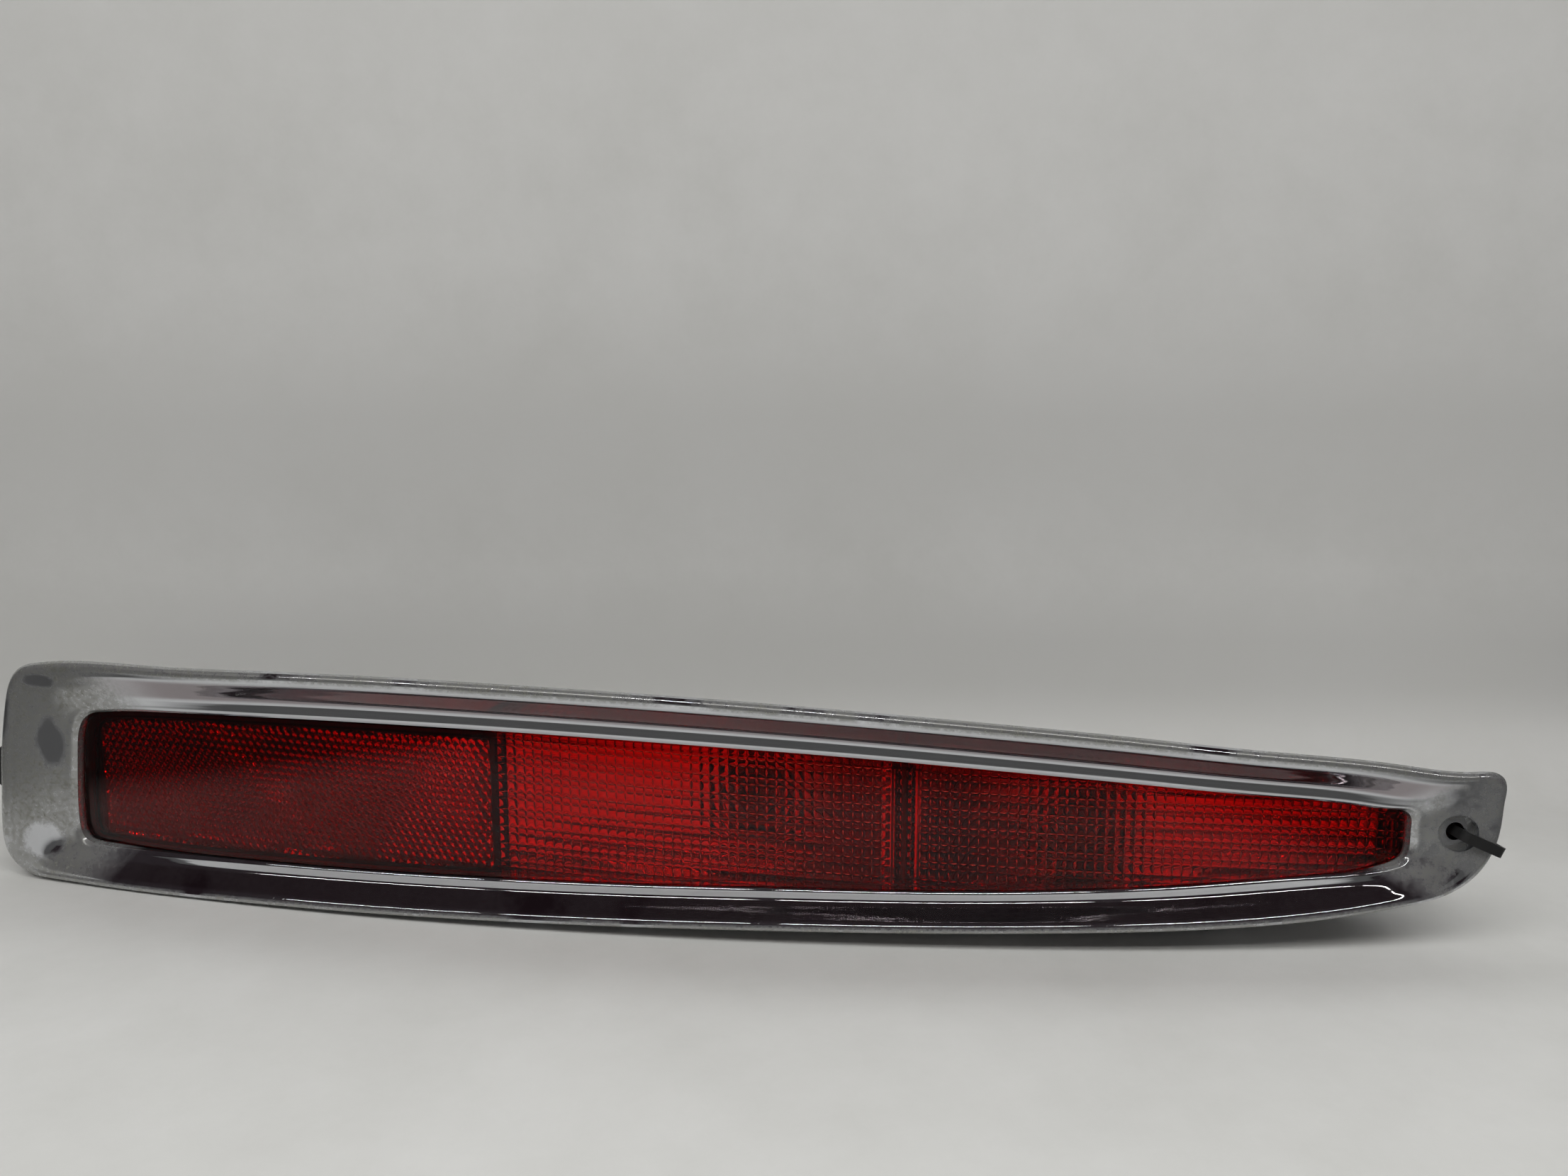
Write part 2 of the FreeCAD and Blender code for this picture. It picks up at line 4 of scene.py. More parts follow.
import bmesh
import bpy
import numpy as np
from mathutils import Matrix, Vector


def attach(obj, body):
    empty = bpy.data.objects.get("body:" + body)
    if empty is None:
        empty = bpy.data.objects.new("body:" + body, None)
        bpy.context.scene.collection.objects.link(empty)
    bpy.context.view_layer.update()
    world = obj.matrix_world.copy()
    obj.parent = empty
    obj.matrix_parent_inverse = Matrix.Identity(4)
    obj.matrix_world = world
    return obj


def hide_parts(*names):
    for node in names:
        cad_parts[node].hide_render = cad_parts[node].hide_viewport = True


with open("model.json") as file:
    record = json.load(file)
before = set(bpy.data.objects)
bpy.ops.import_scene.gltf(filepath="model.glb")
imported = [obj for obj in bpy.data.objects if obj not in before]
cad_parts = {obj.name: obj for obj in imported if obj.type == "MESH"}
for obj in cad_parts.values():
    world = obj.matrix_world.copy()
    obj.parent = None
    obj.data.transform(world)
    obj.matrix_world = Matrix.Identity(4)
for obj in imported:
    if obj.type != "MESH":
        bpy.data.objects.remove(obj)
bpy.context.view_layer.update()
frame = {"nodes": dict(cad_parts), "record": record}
nodes = frame["nodes"]

# ---------------------------------------------------------------- sizes, in millimetres
# The lamp's own frame: its bowed face looks towards -Y and tapers towards +X. "off" is a
# depth behind the bow. TO_ORIGIN moves it to the model's frame.
BOW_R, BOW_X = 1500.0, 150.0
TO_ORIGIN = (42.1, -51.0, 0.0)

# Outer x and z, opening x and z, cove depth share, clockwise round the bezel
OUTLINE = np.array([
    (-286.5, 86.9, -260.5, 68.6, 0.0), (-236.0, 88.8, -226.9, 70.1, 0.5),
    (-180.0, 89.4, -178.8, 70.6, 0.9), (-125.0, 89.1, -124.6, 70.4, 1.0),
    (-74.0, 87.8, -73.5, 69.3, 1.0), (-25.0, 85.8, -24.5, 67.4, 1.0),
    (22.0, 82.9, 22.5, 65.0, 1.0), (68.5, 79.4, 69.4, 61.6, 1.0),
    (115.0, 75.2, 115.3, 57.6, 1.0), (161.0, 70.4, 159.3, 53.4, 1.0),
    (205.0, 65.6, 192.0, 50.3, 0.7), (230.0, 62.9, 205.3, 48.9, 0.2),
    (238.4, 61.9, 209.8, 48.1, 0.0), (240.8, 59.6, 211.3, 46.6, 0.0),
    (241.0, 53.0, 211.8, 42.2, 0.0), (240.5, 44.6, 211.8, 37.6, 0.0),
    (238.4, 35.6, 211.4, 34.0, 0.0), (233.8, 28.0, 210.0, 31.4, 0.0),
    (226.0, 21.8, 206.6, 29.4, 0.0), (212.4, 17.3, 197.1, 26.9, 0.4),
    (188.5, 13.1, 178.7, 24.8, 0.9), (141.0, 8.7, 139.8, 21.7, 1.0),
    (94.0, 7.0, 93.9, 19.2, 1.0), (46.6, 5.8, 46.9, 18.0, 1.0),
    (-1.5, 4.8, -1.5, 17.4, 1.0), (-50.7, 3.6, -51.0, 16.4, 1.0),
    (-101.8, 2.4, -101.1, 15.5, 1.0), (-155.8, 1.3, -153.2, 14.7, 1.0),
    (-213.5, 0.6, -204.4, 14.5, 0.8), (-262.0, 0.4, -248.4, 14.8, 0.3),
    (-287.5, 0.8, -265.9, 15.4, 0.0), (-300.6, 2.8, -272.4, 16.8, 0.0),
    (-307.3, 8.0, -274.6, 19.9, 0.0), (-309.8, 16.4, -275.2, 25.6, 0.0),
    (-308.6, 34.0, -274.9, 35.8, 0.0), (-306.2, 54.0, -273.3, 52.7, 0.0),
    (-302.6, 71.0, -271.7, 61.0, 0.0), (-299.4, 79.4, -269.3, 65.1, 0.0),
    (-294.3, 84.5, -265.7, 67.5, 0.0)])

# Bezel section: share from outer edge to opening, depth, added cove depth
FRONT_SECTION = np.array([
    (0.00, 2.4, 0.0), (0.04, 0.7, 0.0), (0.11, 0.0, 0.0), (0.20, 0.3, 0.0),
    (0.26, 0.45, 0.25), (0.30, 0.6, 0.7), (0.38, 1.0, 1.75), (0.46, 1.4, 2.8),
    (0.54, 1.9, 3.75), (0.62, 2.5, 4.5), (0.68, 3.0, 4.75), (0.73, 3.4, 4.7),
    (0.79, 3.9, 4.25), (0.86, 4.5, 3.6), (0.94, 5.1, 3.05), (1.00, 6.4, 2.3)])
BACK_SECTION = np.array([
    (1.00, 13.0, 0.0), (0.90, 13.0, 0.0), (0.88, 9.6, 0.0), (0.80, 7.4, 2.2),
    (0.72, 6.4, 3.2), (0.66, 5.6, 3.7), (0.58, 5.0, 3.3), (0.50, 4.6, 2.4),
    (0.42, 4.3, 1.4), (0.34, 4.2, 0.5), (0.27, 4.3, 0.0), (0.16, 5.0, 0.0),
    (0.41, 15.2, 0.0), (0.32, 15.2, 0.0)])
# The mesh stays this far behind the CAD face and between these heights, inside the CAD box
BEZEL_INSET, BEZEL_Z = 0.06, (0.02, 89.38)
HOLE_X, HOLE_Z, HOLE_R = 225.8, 41.8, 3.1
COUNTERBORE_R, COUNTERBORE_DEPTH = 6.2, 2.8

LENS_FACE, LENS_T = 9.0, 2.8
FLANGE_FRONT, FLANGE_BACK = 13.4, 15.9
PILLOW_W, PILLOW_TALL, PILLOW_SHORT, PILLOW_H = 3.3, 3.9, 2.5, 0.75
ROW_SLOPE = -0.045
REFLEX_LEFT, REFLEX_RIGHT, PILLOW_LEFT = -264.5, -105.0, -106.0
HEX_PITCH, PIN_APEX, PIN_TILT, REFLEX_GAP = 3.0, 2.5, -3.0, 0.4
RIB_XS = (37.5, 41.5, 45.5)
LENS_SHARE, CREASE = 1.035, 38.0
STUD_X, STUD_Z, STUD_R = (-88.0, 172.0), (21.0, 44.0), 3.0
STUD_START, STUD_FACE, STUD_END = 52.5, 60.0, 84.0
# Camera lens in mm, its distance and height in the lamp's millimetres, its downward tilt in degrees
CAMERA_LENS, CAMERA_DISTANCE, CAMERA_HEIGHT, CAMERA_DOWN = 27.05, 375.0, 178.0, 8.0
# Stage, in metres: where the floor turns up, the turn's depth and height, the wall's top
SWEEP_Y, SWEEP_R, WALL_Y, WALL_TOP, STAGE_HALF = 0.10, 0.05, 0.17, 0.42, 2.5


# ---------------------------------------------------------------- shape helpers
def bow_y(x, off):
    """Depth of the bowed surface that lies off behind the front."""
    return BOW_R - np.sqrt((BOW_R - off) ** 2 - (x - BOW_X) ** 2)


def metres(points):
    return (np.asarray(points, float) + TO_ORIGIN) * 0.001


def closed_weights(points, count):
    """Matrix that turns values at the outline's points into count samples of a smooth closed curve."""
    n = len(points)
    step = np.linalg.norm(np.roll(points, -1, 0) - points, axis=1)
    before = np.roll(step, 1)
    left = np.zeros((n, n))
    right = np.zeros((n, n))
    for i in range(n):
        j, k = (i - 1) % n, (i + 1) % n
        left[i, j], left[i, i], left[i, k] = before[i], 2 * (before[i] + step[i]), step[i]
        right[i, k] += 6 / step[i]
        right[i, i] -= 6 / step[i] + 6 / before[i]
        right[i, j] += 6 / before[i]
    bend = np.linalg.solve(left, right)
    knots = np.concatenate([[0], np.cumsum(step)])
    eye = np.eye(n)
    rows = []
    for t in np.linspace(0, knots[-1], count, endpoint=False):
        i = min(int(np.searchsorted(knots, t, "right")) - 1, n - 1)
        k, h = (i + 1) % n, step[i]
        a, b = knots[i + 1] - t, t - knots[i]
        rows.append(bend[i] * a ** 3 / (6 * h) + bend[k] * b ** 3 / (6 * h)
                    + (eye[i] / h - bend[i] * h / 6) * a + (eye[k] / h - bend[k] * h / 6) * b)
    return np.array(rows)


def at_share(share):
    """The outline's points at a share of the way from the outer edge to the opening."""
    return OUTLINE[:, 0:2] + (OUTLINE[:, 2:4] - OUTLINE[:, 0:2]) * share


def smooth_section(section, count):
    """Samples of a smooth curve through a section's points."""
    flat = section * (17.0, 1.0, 1.0)
    steps = np.linalg.norm(np.diff(flat, axis=0), axis=1) ** 0.5
    t = np.concatenate([[0], np.cumsum(steps)])
    slope = np.gradient(section, t, axis=0)
    rows = []
    for u in np.linspace(0, t[-1], count):
        i = min(int(np.searchsorted(t, u, "right")) - 1, len(section) - 2)
        h = t[i + 1] - t[i]
        s = (u - t[i]) / h
        rows.append(section[i] * (2 * s ** 3 - 3 * s ** 2 + 1) + slope[i] * h * (s ** 3 - 2 * s ** 2 + s)
                    + section[i + 1] * (3 * s ** 2 - 2 * s ** 3) + slope[i + 1] * h * (s ** 3 - s ** 2))
    return np.array(rows)


def new_mesh(name, points, faces, smooth=True, weld=False):
    """Mesh object from points in the lamp's millimetres; weld joins points that meet."""
    mesh = bpy.data.meshes.new(name)
    mesh.from_pydata(metres(points).tolist(), [], faces)
    mesh.validate()
    work = bmesh.new()
    work.from_mesh(mesh)
    if weld:
        bmesh.ops.remove_doubles(work, verts=work.verts, dist=0.000004)
    bmesh.ops.recalc_face_normals(work, faces=work.faces)
    work.to_mesh(mesh)
    work.free()
    mesh.update()
    if smooth:
        mesh.shade_smooth()
    obj = bpy.data.objects.new(name, mesh)
    bpy.context.scene.collection.objects.link(obj)
    return obj


def ring_faces(rings, around, closed=True):
    """Quads between rings of points stored one after another."""
    faces = []
    last = rings if closed else rings - 1
    for r in range(last):
        here, there = r * around, ((r + 1) % rings) * around
        for i in range(around):
            k = (i + 1) % around
            faces.append((here + i, here + k, there + k, there + i))
    return faces


def modify(obj, kind, **settings):
    mod = obj.modifiers.new(kind.title(), kind)
    for key, value in settings.items():
        setattr(mod, key, value)
    return mod


def apply_modifiers(obj):
    depsgraph = bpy.context.evaluated_depsgraph_get()
    mesh = bpy.data.meshes.new_from_object(obj.evaluated_get(depsgraph))
    obj.modifiers.clear()
    obj.data = mesh


# ---------------------------------------------------------------- materials
class Nodes:
    """Short calls for building one material's node tree."""

    def __init__(self, name):
        self.material = bpy.data.materials.new(name)
        self.material.use_nodes = True
        self.tree = self.material.node_tree
        self.shader = self.tree.nodes["Principled BSDF"]
        self.coords = self.new("ShaderNodeTexCoord").outputs["Object"]

    def new(self, kind, **settings):
        node = self.tree.nodes.new(kind)
        for key, value in settings.items():
            setattr(node, key, value)
        return node

    def link(self, output, target):
        self.tree.links.new(output, target)

    def set(self, **values):
        for key, value in values.items():
            self.shader.inputs[key.replace("_", " ")].default_value = value

    def noise(self, scale, detail=4.0, rough=0.5, stretch=None):
        node = self.new("ShaderNodeTexNoise")
        node.inputs["Scale"].default_value = scale
        node.inputs["Detail"].default_value = detail
        node.inputs["Roughness"].default_value = rough
        vector = self.coords
        if stretch:
            mapping = self.new("ShaderNodeMapping")
            mapping.inputs["Scale"].default_value = stretch
            self.link(vector, mapping.inputs["Vector"])
            vector = mapping.outputs["Vector"]
        self.link(vector, node.inputs["Vector"])
        return node.outputs["Fac"]

    def ramp(self, value, stops):
        node = self.new("ShaderNodeValToRGB")
        ramp = node.color_ramp
        ramp.elements[0].position, ramp.elements[0].color = stops[0][0], colour(stops[0][1])
        ramp.elements[1].position, ramp.elements[1].color = stops[-1][0], colour(stops[-1][1])
        for place, value_at in stops[1:-1]:
            ramp.elements.new(place).color = colour(value_at)
        self.link(value, node.inputs["Fac"])
        return node.outputs["Color"]

    def math(self, operation, a, b=0.0):
        node = self.new("ShaderNodeMath", operation=operation)
        for socket, value in zip(node.inputs, (a, b)):
            if isinstance(value, (int, float)):
                socket.default_value = value
            else:
                self.link(value, socket)
        return node.outputs["Value"]

    def mix(self, factor, a, b):
        node = self.new("ShaderNodeMix", data_type="RGBA")
        for socket, value in ((node.inputs["Factor"], factor), (node.inputs["A"], a), (node.inputs["B"], b)):
            if isinstance(value, (int, float)):
                socket.default_value = value
            elif isinstance(value, tuple):
                socket.default_value = colour(value)
            else:
                self.link(value, socket)
        return node.outputs["Result"]

    def bump(self, height, strength, distance):
        node = self.new("ShaderNodeBump")
        node.inputs["Strength"].default_value = strength
        node.inputs["Distance"].default_value = distance
        self.link(height, node.inputs["Height"])
        self.link(node.outputs["Normal"], self.shader.inputs["Normal"])
        return node


def colour(value):
    if isinstance(value, (int, float)):
        return (value, value, value, 1.0)
    return (*value[:3], 1.0)


def plastic(name, base, light, rough, grain=900.0, bump=0.25, **values):
    """Moulded plastic or rubber: fine grain, slight mottling, dusty high spots."""
    n = Nodes(name)
    spots = n.noise(35.0, 6.0, 0.6)
    n.link(n.mix(n.ramp(spots, [(0.35, 0.0), (0.75, 1.0)]), base, light), n.shader.inputs["Base Color"])
    n.link(n.ramp(spots, [(0.3, rough - 0.08), (0.75, rough + 0.10)]), n.shader.inputs["Roughness"])
    n.bump(n.noise(grain, 3.0, 0.6), bump, 0.0003)
    n.set(**values)
    return n.material


def metal(name, base, dark, rough, scale=160.0, stretch=None, bump=0.08, **values):
    """Bare or plated metal with fine marks and slight tarnish."""
    n = Nodes(name)
    tarnish = n.noise(60.0, 5.0, 0.65)
    marks = n.noise(scale, 6.0, 0.7, stretch)
    n.link(n.mix(n.ramp(tarnish, [(0.4, 0.0), (0.8, 1.0)]), base, dark), n.shader.inputs["Base Color"])
    n.link(n.ramp(marks, [(0.3, rough * 0.7), (0.8, min(rough * 1.6, 1.0))]), n.shader.inputs["Roughness"])
    n.bump(marks, bump, 0.0002)
    n.set(Metallic=1.0, **values)
    return n.material


# Places where the film is rubbed off the wide end (x, z, radius, height to width)
CLEAR_SPOTS = [(-305.0, 69.0, 7.0, 2.2), (-283.0, 55.0, 6.0, 1.9),
               (-290.0, 16.0, 9.0, 0.8), (-284.0, 80.5, 8.0, 0.35)]


def chrome():
    """Plating under a patchy grey film; painted shade and a painted purple reflection of the red lens in the
    cove, finely scratched along its length.
    """
    n = Nodes("bezel_chrome")
    where = n.new("ShaderNodeAttribute", attribute_name="haze").outputs["Fac"]
    cove = n.new("ShaderNodeAttribute", attribute_name="cove").outputs["Fac"]
    ragged = n.noise(55.0, 6.0, 0.7)
    clouds = n.ramp(n.noise(30.0, 9.0, 0.66), [(0.38, 0.0), (0.47, 0.8), (0.62, 1.0)])
    fine = n.noise(520.0, 5.0, 0.75)
    scratch = n.noise(90.0, 8.0, 0.75, (1.0, 8.0, 8.0))
    film = n.math("MULTIPLY", clouds, n.ramp(fine, [(0.34, 0.45), (0.60, 1.0)]))
    film = n.math("MULTIPLY", film, n.math("MAXIMUM", where, 0.05))
    for x, z, radius, tall in CLEAR_SPOTS:
        offset = n.new("ShaderNodeVectorMath", operation="SUBTRACT")
        n.link(n.coords, offset.inputs[0])
        offset.inputs[1].default_value = metres((x, float(bow_y(x, 1.0)), z))
        squash = n.new("ShaderNodeVectorMath", operation="MULTIPLY")
        n.link(offset.outputs["Vector"], squash.inputs[0])
        squash.inputs[1].default_value = (1000 / radius, 1000 / radius, 1000 / radius / tall)
        reach = n.new("ShaderNodeVectorMath", operation="LENGTH")
        n.link(squash.outputs["Vector"], reach.inputs[0])
        edge = n.math("ADD", reach.outputs["Value"], n.math("MULTIPLY", ragged, 1.6))
        film = n.math("MULTIPLY", film, n.ramp(n.math("MULTIPLY", edge, 0.5), [(0.78, 0.05), (0.95, 1.0)]))
    # Painted shade and painted reflection: the cove's plating is darker and purplish, standing in for the
    # shade there and the red lens reflected in it.
    bright = n.mix(cove, (0.66, 0.67, 0.70), (0.42, 0.38, 0.40))
    n.link(n.mix(film, bright, (0.25, 0.25, 0.225)), n.shader.inputs["Base Color"])
    n.link(n.ramp(film, [(0.0, 1.0), (1.0, 0.45)]), n.shader.inputs["Metallic"])
    n.link(n.ramp(film, [(0.0, 0.03), (1.0, 0.30)]), n.shader.inputs["Roughness"])
    n.bump(n.mix(0.5, fine, scratch), 0.03, 0.0002)
    return n.material


def red_acrylic(name, tint, rough=0.02):
    """Transparent red moulding with faint surface dust and fine scratches."""
    n = Nodes(name)
    dust = n.noise(240.0, 6.0, 0.7)
    dusty = tuple(0.8 * t for t in tint)
    n.link(n.mix(n.ramp(dust, [(0.45, 0.0), (0.85, 1.0)]), tint, dusty), n.shader.inputs["Base Color"])
    n.link(n.ramp(dust, [(0.4, rough), (0.9, rough + 0.06)]), n.shader.inputs["Roughness"])
    n.set(Transmission_Weight=1.0, IOR=1.49, Specular_Tint=(0.45, 0.45, 0.45, 1.0))
    return n.material


def glass():
    n = Nodes("bulb_glass")
    film = n.noise(120.0, 4.0, 0.6)
    n.link(n.mix(film, (0.96, 0.97, 0.97), (0.90, 0.91, 0.90)), n.shader.inputs["Base Color"])
    n.link(n.ramp(film, [(0.3, 0.0), (0.9, 0.05)]), n.shader.inputs["Roughness"])
    n.set(Transmission_Weight=1.0, IOR=1.5)
    return n.material


def aluminised():
    """Bright vacuum coating with slight ripple."""
    n = Nodes("aluminised")
    ripple = n.noise(45.0, 3.0, 0.5)
    n.link(n.mix(ripple, (0.90, 0.90, 0.89), (0.80, 0.80, 0.80)), n.shader.inputs["Base Color"])
    n.link(n.ramp(n.noise(300.0, 4.0, 0.6), [(0.3, 0.05), (0.9, 0.16)]), n.shader.inputs["Roughness"])
    n.bump(ripple, 0.25, 0.0006)
    n.set(Metallic=1.0)
    return n.material


MATERIALS = {
    "bezel_chrome": chrome(),
    "black_rubber": plastic("black_rubber", (0.012, 0.012, 0.012), (0.03, 0.03, 0.03), 0.7, 500.0),
    "spring_steel": metal("spring_steel", (0.30, 0.30, 0.31), (0.14, 0.12, 0.10), 0.35),
    "red_lens": red_acrylic("red_lens", (0.92, 0.035, 0.02)),
    "red_reflex": red_acrylic("red_reflex", (0.90, 0.05, 0.04)),
    "butyl": plastic("butyl", (0.010, 0.010, 0.010), (0.02, 0.02, 0.02), 0.55, 200.0),
    "housing_black": plastic("housing_black", (0.014, 0.014, 0.015), (0.035, 0.034, 0.033), 0.5),
    "stud_steel": metal("stud_steel", (0.62, 0.61, 0.56), (0.45, 0.42, 0.34), 0.32),
    "gasket_foam": plastic("gasket_foam", (0.020, 0.020, 0.020), (0.05, 0.05, 0.05), 0.95, 1400.0, 0.8),
    "vent_plastic": plastic("vent_plastic", (0.02, 0.02, 0.02), (0.04, 0.04, 0.04), 0.45),
    "membrane": plastic("membrane", (0.80, 0.80, 0.78), (0.70, 0.70, 0.68), 0.9, 2500.0, 0.6),
    "black_nylon": plastic("black_nylon", (0.010, 0.010, 0.010), (0.028, 0.028, 0.028), 0.36, 1500.0, 0.12),
    "aluminised": aluminised(),
    "socket_grey": plastic("socket_grey", (0.10, 0.10, 0.11), (0.16, 0.16, 0.165), 0.5),
    "terminal_brass": metal("terminal_brass", (0.75, 0.60, 0.34), (0.48, 0.36, 0.18), 0.28),
    "bulb_base": plastic("bulb_base", (0.74, 0.72, 0.66), (0.66, 0.63, 0.56), 0.45),
    "bulb_glass": glass(),
    "filament_metal": metal("filament_metal", (0.55, 0.55, 0.57), (0.35, 0.34, 0.34), 0.3),
}


def finish_as(obj, slot_name):
    """Gives an object one material, that of a record slot."""
    obj.data.materials.clear()
    obj.data.materials.append(MATERIALS[slot_name])
    return obj


def piece(obj, slot_name, body="lamp", replaces=None):
    finish_as(obj, slot_name)
    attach(obj, body)
    if replaces:
        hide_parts(replaces)
    return obj


# ---------------------------------------------------------------- camera, lights and floor
camera = bpy.data.objects.new("camera", bpy.data.cameras.new("camera"))
bpy.context.scene.collection.objects.link(camera)
bpy.context.scene.camera = camera
camera.data.lens = CAMERA_LENS
camera.location = metres((0.0, -CAMERA_DISTANCE, CAMERA_HEIGHT))
camera.rotation_euler = (math.radians(90.0 - CAMERA_DOWN), 0, 0)
camera.data.clip_start = 0.01


def area_light(name, place, target, size, power, tint=(1, 1, 1), mirrored=True):
    """Soft rectangular light; mirrored=False keeps its shape out of the lamp's reflections."""
    light = bpy.data.lights.new(name, "AREA")
    light.shape = "RECTANGLE"
    light.size, light.size_y = size
    light.energy = power
    light.color = tint
    obj = bpy.data.objects.new(name, light)
    obj.location = place
    obj.rotation_euler = (Vector(target) - Vector(place)).to_track_quat("-Z", "Y").to_euler()
    obj.visible_glossy = mirrored
    obj.visible_transmission = mirrored
    bpy.context.scene.collection.objects.link(obj)
    return obj


# A row of narrow tubes high in front
for number, x in enumerate((-1.50, -0.72, 0.06, 0.84, 1.62)):
    area_light("tube_%d" % number, (x, -1.2, 1.35), (x, 0.0, 0.0), (0.70, 0.02), 1.5, (1.0, 0.985, 0.955))
area_light("overhead", (0.0, 0.55, 1.3), (0.0, -0.15, 0.0), (2.6, 0.6), 10.0, (0.98, 1.0, 0.99), False)
area_light("wall_wash", (0.0, -0.55, 0.95), (0.0, 0.17, 0.12), (2.4, 0.3), 10.5, (1.0, 1.0, 0.99), False)
card = area_light("card", (0.0, -0.85, 0.25), (0.0, 0.0, 0.05), (0.5, 0.5), 0.45, (1.0, 1.0, 0.99), False)
card.visible_transmission = True

world = bpy.data.worlds.new("studio")
bpy.context.scene.world = world
world.use_nodes = True
world.node_tree.nodes["Background"].inputs["Color"].default_value = (1.0, 0.66, 0.80, 1)
world.node_tree.nodes["Background"].inputs["Strength"].default_value = 0.018
bpy.context.scene.view_settings.view_transform = "Standard"


def floor():
    """Pale floor and a wall behind the lamp.

    The wall is clear from its back. Past the camera's field the floor carries painted shade: it stays pale to
    the camera but is dark to reflections and bounced light.
    """
    n = Nodes("pale_floor")
    marks = n.noise(9.0, 8.0, 0.7)
    place = n.new("ShaderNodeSeparateXYZ")
    n.link(n.coords, place.inputs["Vector"])
    depth = n.math("MULTIPLY", place.outputs["Y"], -1.0)
    side = n.math("SUBTRACT", n.math("ABSOLUTE", place.outputs["X"]), 0.17)
    side = n.math("ADD", side, n.math("MULTIPLY", depth, 0.8))
    # Painted shade: past the camera's field the floor is darkened for reflections and bounced light.
    clear_of_painted_shade = n.ramp(n.math("MAXIMUM", depth, side), [(0.17, 1.0), (0.24, 0.12)])
    # Painted light and shade: brighter and dimmer bands over height on the floor's sweep and wall.
    painted_light_bands = n.ramp(place.outputs["Z"], [(0.0, 1.0), (0.035, 0.90), (0.07, 0.89), (0.105, 1.0), (0.15, 0.93),
                                        (0.18, 0.90), (0.22, 0.97), (0.25, 1.0), (0.32, 1.0), (0.38, 0.95)])
    clean = n.mix(painted_light_bands, (0.0, 0.0, 0.0), (0.66, 0.66, 0.645))
    paint = n.mix(n.ramp(marks, [(0.35, 0.0), (0.75, 1.0)]), clean, (0.58, 0.58, 0.56))
    seen = n.new("ShaderNodeLightPath").outputs["Is Camera Ray"]
    n.link(n.mix(n.math("MAXIMUM", clear_of_painted_shade, seen), (0.0, 0.0, 0.0), paint), n.shader.inputs["Base Color"])
    n.set(Roughness=0.6)
    one_sided = n.new("ShaderNodeMixShader")
    n.link(n.new("ShaderNodeNewGeometry").outputs["Backfacing"], one_sided.inputs[0])
    n.link(n.shader.outputs["BSDF"], one_sided.inputs[1])
    n.link(n.new("ShaderNodeBsdfTransparent").outputs["BSDF"], one_sided.inputs[2])
    n.link(one_sided.outputs["Shader"], n.tree.nodes["Material Output"].inputs["Surface"])
    profile = [(-3.0, 0.0), (SWEEP_Y, 0.0)]
    for step in range(1, 13):
        angle = math.pi / 2 * step / 12
        profile.append((SWEEP_Y + SWEEP_R * math.sin(angle), SWEEP_R * (1 - math.cos(angle))))
    profile.append((WALL_Y, WALL_TOP))
    behind = [(SWEEP_Y, -0.0005), (3.0, -0.0005)]
    for name, outline in (("floor", profile), ("floor_behind", behind)):
        points, faces = [], []
        for y, z in outline:
            points += [(-STAGE_HALF, y, z), (STAGE_HALF, y, z)]
        for i in range(len(outline) - 1):
            faces.append((2 * i, 2 * i + 1, 2 * i + 3, 2 * i + 2))
        mesh = bpy.data.meshes.new(name)
        mesh.from_pydata(points, [], faces)
        mesh.shade_smooth()
        obj = bpy.data.objects.new(name, mesh)
        obj.data.materials.append(n.material)
        bpy.context.scene.collection.objects.link(obj)


floor()


# ---------------------------------------------------------------- bezel
def bezel():
    """Rim, cove and lip swept round the outline, with the counterbored screw hole cut in."""
    around = 1100
    weights = closed_weights(at_share(0.5), around)
    section = np.concatenate([smooth_section(FRONT_SECTION, 60), BACK_SECTION])
    depth = weights @ OUTLINE[:, 4]
    points, haze, painted_cove_shade = [], [], []
    for share, off, cove in section:
        flat = weights @ at_share(share)
        y = bow_y(flat[:, 0], off + BEZEL_INSET + cove * depth)
        points.append(np.column_stack([flat[:, 0], y, np.clip(flat[:, 1], *BEZEL_Z)]))
        haze.append(1 - np.clip(depth * 3, 0, 1) * np.clip((share - 0.15) / 0.08, 0, 1))
        # Cove mask: where the plating gets painted shade and a painted reflection of the red lens.
        painted_cove_shade.append(np.clip(depth * 2, 0, 1) * np.interp(share, (0.27, 0.33, 0.66, 0.72), (0, 1, 1, 0)))
    obj = new_mesh("bezel", np.concatenate(points), ring_faces(len(section), around))
    for name, values in (("haze", haze), ("cove", painted_cove_shade)):
        layer = obj.data.attributes.new(name, "FLOAT", "POINT")
        layer.data.foreach_set("value", np.concatenate(values))
    front = bow_y(HOLE_X, 1.5)
    cutters = []
    for radius, reach in ((COUNTERBORE_R, COUNTERBORE_DEPTH), (HOLE_R, 20)):
        cutters.append(tube_mesh("cutter", HOLE_X, HOLE_Z, front - 8, front + reach, radius))
        modify(obj, "BOOLEAN", operation="DIFFERENCE", solver="EXACT", object=cutters[-1])
    apply_modifiers(obj)
    for cutter in cutters:
        bpy.data.objects.remove(cutter)
    obj.data.set_sharp_from_angle(angle=math.radians(CREASE))
    return piece(obj, "bezel_chrome", replaces="chrome_bezel")


def tube_mesh(name, x, z, start, end, radius, sides=72):
    """Closed round bar along Y."""
    angles = np.linspace(0, 2 * math.pi, sides, endpoint=False)
    points = []
    for y in (start, end):
        across, up = x + radius * np.cos(angles), z + radius * np.sin(angles)
        points.append(np.column_stack([across, np.full(sides, y), up]))
    faces = ring_faces(2, sides, closed=False)
    faces += [tuple(range(sides))[::-1], tuple(range(sides, 2 * sides))]
    return new_mesh(name, np.concatenate(points), faces, smooth=False)


bezel()


